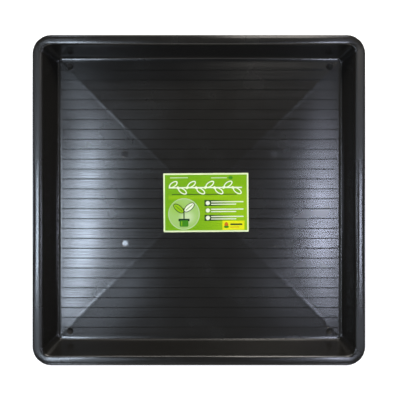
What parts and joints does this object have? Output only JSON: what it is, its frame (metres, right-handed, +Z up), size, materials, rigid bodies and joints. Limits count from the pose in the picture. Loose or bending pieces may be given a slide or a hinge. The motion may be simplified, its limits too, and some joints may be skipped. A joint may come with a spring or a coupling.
{
  "type": "drainage tray",
  "caption": "Square black plastic garden tray with a grooved floor, sloping walls, a rolled rim and a green printed label on the floor.",
  "frame": {"origin": "under the middle of the tray, on the surface that its feet stand on", "axes": "+X along the longer side, in line with the grooves; +Y across the grooves; +Z up, out of the open tray"},
  "size_m": [0.604, 0.6, 0.07],
  "materials": {
    "moulded_plastic": "black polypropylene, satin gloss, with fine tool streaks along the grooves",
    "printed_label": "coated self-adhesive label, lime green print with a cream edge, light gloss"
  },
  "bodies": {
    "root": {"tray_shell": "moulded_plastic", "label": "printed_label"}
  },
  "joints": []
}
